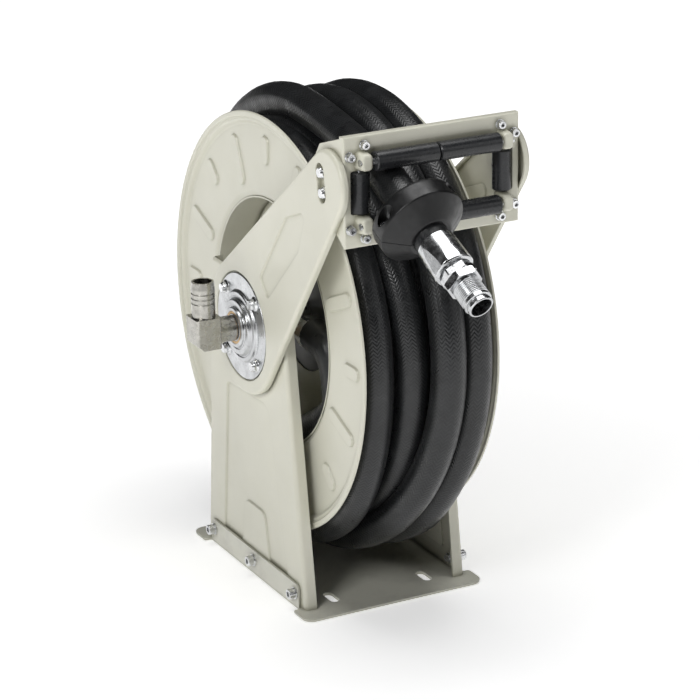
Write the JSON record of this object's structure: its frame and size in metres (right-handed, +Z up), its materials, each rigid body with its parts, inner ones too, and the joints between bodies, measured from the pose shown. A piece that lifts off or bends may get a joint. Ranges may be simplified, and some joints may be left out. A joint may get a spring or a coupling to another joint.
{
  "type": "hose reel",
  "caption": "Spring-return hose reel: ribbed drum of black hose between pressed pedestals, with a swivel inlet, raised roller guide and ball stop.",
  "frame": {"origin": "centre of the base plate's underside, straight below the drum axle", "axes": "+Z up, +X along the axle away from the water inlet, -Y towards the hose outlet"},
  "size_m": [0.3205, 0.7285, 0.6215],
  "materials": {
    "ivory_powder_coat": "semi-gloss powder coat",
    "black_powder_coat": "satin powder coat",
    "zinc": "bright zinc plate",
    "spring_steel": "blued spring steel",
    "steel": "turned steel",
    "nickel": "nickel plate over a forged surface",
    "chrome_plate": "bright plate",
    "black_hose": "cloth-wrapped rubber cover",
    "black_seal": "moulded rubber",
    "black_plastic": "satin moulded plastic",
    "bronze": "sintered bronze"
  },
  "bodies": {
    "frame": {"base_plate": "ivory_powder_coat", "left_pedestal": "ivory_powder_coat", "right_pedestal": "ivory_powder_coat", "left_arm": "ivory_powder_coat", "right_arm": "ivory_powder_coat", "left_hub_flange": "zinc", "right_hub_flange": "zinc", "left_bearing": "bronze", "spring_arbor": "steel", "base_bolts": "zinc", "base_nuts": "zinc", "hub_bolts": "zinc", "hub_nuts": "zinc", "arm_tip_bolts": "zinc", "arm_tip_nuts": "zinc", "guide_box": "ivory_powder_coat", "corner_clamps": "zinc", "guide_bolts": "zinc", "guide_nuts": "zinc", "roller_pins": "zinc", "pawl_pivot": "zinc", "pawl_spring": "spring_steel", "hose_leg": "black_hose", "hose_ferrule": "chrome_plate", "hose_insert": "chrome_plate", "outlet_nipple": "chrome_plate", "stop_upper_half": "black_plastic", "stop_lower_half": "black_plastic", "stop_bolts": "zinc"},
    "drum": {"drum_core": "ivory_powder_coat", "left_flange": "ivory_powder_coat", "right_flange": "ivory_powder_coat", "drum_web": "ivory_powder_coat", "drum_axle": "steel", "feed_fitting": "chrome_plate", "feed_hose": "black_hose", "spring_case": "black_powder_coat", "spring_case_cover": "black_powder_coat", "right_bearing": "bronze", "mainspring": "spring_steel", "ratchet_wheel": "zinc", "hose_winding": "black_hose"},
    "inlet": {"inlet_elbow": "nickel", "inlet_seals": "black_seal"},
    "pawl": {"pawl": "zinc"},
    "top_left": {"top_left_roller": "black_plastic"},
    "top_right": {"top_right_roller": "black_plastic"},
    "bottom_left": {"bottom_left_roller": "black_plastic"},
    "bottom_right": {"bottom_right_roller": "black_plastic"},
    "left_side": {"left_side_roller": "black_plastic"},
    "right_side": {"right_side_roller": "black_plastic"}
  },
  "joints": [
    {"name": "drum_spin", "type": "hinge", "parent": "frame", "child": "drum", "pos_m": [0, 0, 0.329], "axis": [1, 0, 0], "range_deg": [0, 3960], "stiffness_Nm_per_rad": 0.3, "springref_deg": -687.55},
    {"name": "inlet_swivel", "type": "hinge", "parent": "frame", "child": "inlet", "pos_m": [-0.12, 0, 0.329], "axis": [1, 0, 0], "continuous": true},
    {"name": "pawl_swing", "type": "hinge", "parent": "frame", "child": "pawl", "pos_m": [0.0867, 0.0594, 0.2696], "axis": [1, 0, 0], "range_deg": [0, 5], "stiffness_Nm_per_rad": 0.05, "springref_deg": -17.19},
    {"name": "top_left_roller_spin", "type": "hinge", "parent": "frame", "child": "top_left", "pos_m": [-0.0402, -0.27, 0.5935], "axis": [1, 0, 0], "continuous": true},
    {"name": "top_right_roller_spin", "type": "hinge", "parent": "frame", "child": "top_right", "pos_m": [0.0402, -0.27, 0.5935], "axis": [1, 0, 0], "continuous": true},
    {"name": "bottom_left_roller_spin", "type": "hinge", "parent": "frame", "child": "bottom_left", "pos_m": [-0.0402, -0.27, 0.5205], "axis": [1, 0, 0], "continuous": true},
    {"name": "bottom_right_roller_spin", "type": "hinge", "parent": "frame", "child": "bottom_right", "pos_m": [0.0402, -0.27, 0.5205], "axis": [1, 0, 0], "continuous": true},
    {"name": "left_side_roller_spin", "type": "hinge", "parent": "frame", "child": "left_side", "pos_m": [-0.091, -0.257, 0.557], "axis": [0, 0, 1], "continuous": true},
    {"name": "right_side_roller_spin", "type": "hinge", "parent": "frame", "child": "right_side", "pos_m": [0.091, -0.257, 0.557], "axis": [0, 0, 1], "continuous": true}
  ]
}
